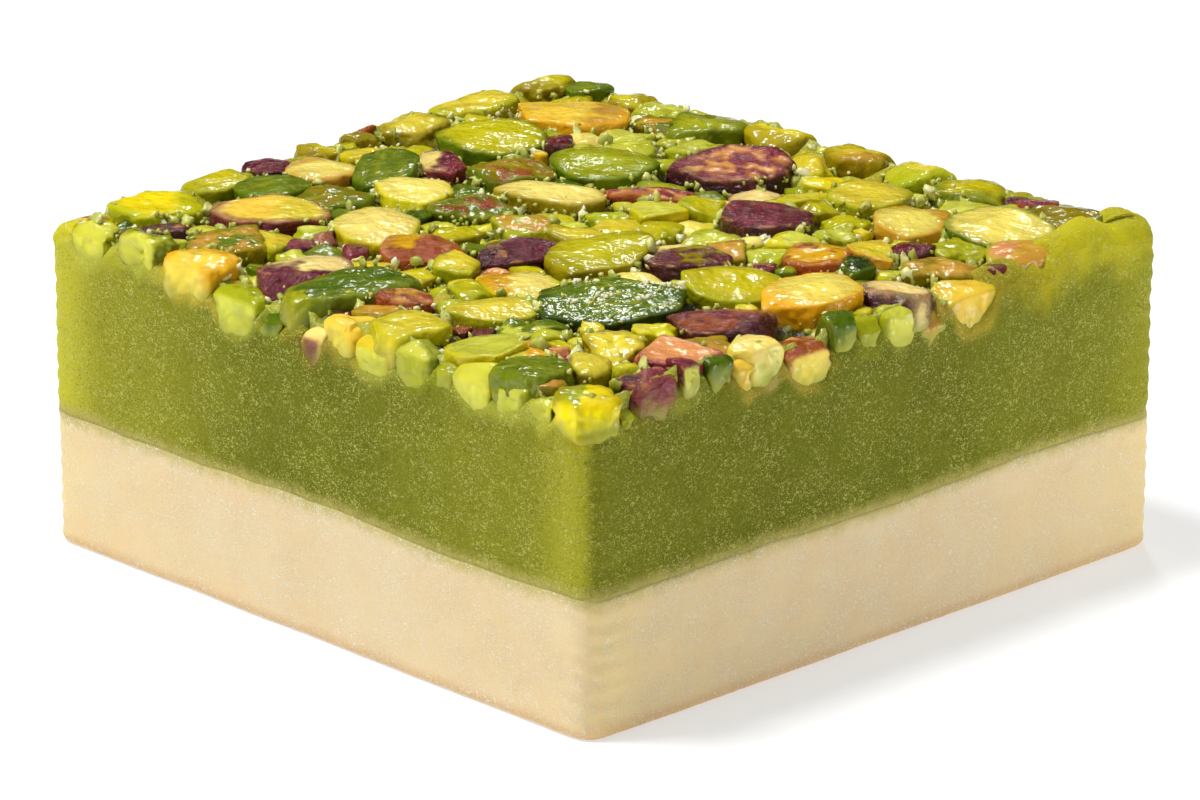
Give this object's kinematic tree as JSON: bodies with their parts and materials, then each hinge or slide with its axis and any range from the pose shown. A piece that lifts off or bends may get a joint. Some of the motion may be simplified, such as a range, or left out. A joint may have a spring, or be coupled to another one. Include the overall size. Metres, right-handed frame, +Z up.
{
  "type": "pistachio marzipan block",
  "caption": "Square block of two-layer marzipan, almond paste below and pistachio paste above, topped with chopped pistachio kernels.",
  "frame": {"origin": "middle of the underside", "axes": "+Z up from the underside, X and Y along the sides of the square block, with the near corner at +X, -Y"},
  "size_m": [0.0848, 0.0807, 0.0358],
  "materials": {
    "almond_base": "fine-grained cream almond paste, matt and slightly translucent",
    "pistachio_layer": "fine-grained olive green pistachio paste, matt with tiny glistening grains",
    "yellow_kernel": "waxy yellow pistachio flesh",
    "green_kernel": "waxy bright green pistachio flesh",
    "dark_kernel": "waxy dark green pistachio flesh",
    "pale_kernel": "waxy pale cream-green pistachio flesh",
    "skinned_kernel": "cream pistachio flesh with wrinkled purple skin",
    "amber_kernel": "waxy amber pistachio flesh",
    "purple_kernel": "wrinkled purple pistachio skin",
    "brown_kernel": "waxy olive-brown pistachio flesh"
  },
  "bodies": {
    "root": {"almond_base": "almond_base", "amber_kernel_01": "amber_kernel", "amber_kernel_02": "amber_kernel", "amber_kernel_03": "amber_kernel", "amber_kernel_04": "amber_kernel", "amber_kernel_05": "amber_kernel", "amber_kernel_06": "amber_kernel", "brown_kernel_01": "brown_kernel", "brown_kernel_02": "brown_kernel", "brown_kernel_03": "brown_kernel", "brown_kernel_04": "brown_kernel", "brown_kernel_05": "brown_kernel", "brown_kernel_06": "brown_kernel", "brown_kernel_07": "brown_kernel", "brown_kernel_08": "brown_kernel", "dark_kernel_01": "dark_kernel", "dark_kernel_02": "dark_kernel", "dark_kernel_03": "dark_kernel", "dark_kernel_04": "dark_kernel", "dark_kernel_05": "dark_kernel", "green_kernel_01": "green_kernel", "green_kernel_02": "green_kernel", "green_kernel_03": "green_kernel", "green_kernel_04": "green_kernel", "green_kernel_05": "green_kernel", "green_kernel_06": "green_kernel", "green_kernel_07": "green_kernel", "green_kernel_08": "green_kernel", "green_kernel_09": "green_kernel", "green_kernel_10": "green_kernel", "pale_kernel_01": "pale_kernel", "pale_kernel_02": "pale_kernel", "pale_kernel_03": "pale_kernel", "pale_kernel_04": "pale_kernel", "pistachio_layer": "pistachio_layer", "purple_kernel_01": "purple_kernel", "purple_kernel_02": "purple_kernel", "purple_kernel_03": "purple_kernel", "purple_kernel_04": "purple_kernel", "purple_kernel_05": "purple_kernel", "purple_kernel_06": "purple_kernel", "skinned_kernel_01": "skinned_kernel", "skinned_kernel_02": "skinned_kernel", "yellow_kernel_01": "yellow_kernel", "yellow_kernel_02": "yellow_kernel", "yellow_kernel_03": "yellow_kernel", "yellow_kernel_04": "yellow_kernel", "yellow_kernel_05": "yellow_kernel", "yellow_kernel_06": "yellow_kernel", "yellow_kernel_07": "yellow_kernel", "yellow_kernel_08": "yellow_kernel", "yellow_kernel_09": "yellow_kernel", "yellow_kernel_10": "yellow_kernel", "yellow_kernel_11": "yellow_kernel", "yellow_kernel_12": "yellow_kernel", "yellow_kernel_13": "yellow_kernel", "yellow_kernel_14": "yellow_kernel", "yellow_kernel_15": "yellow_kernel", "yellow_kernel_16": "yellow_kernel", "yellow_kernel_17": "yellow_kernel"}
  },
  "joints": []
}
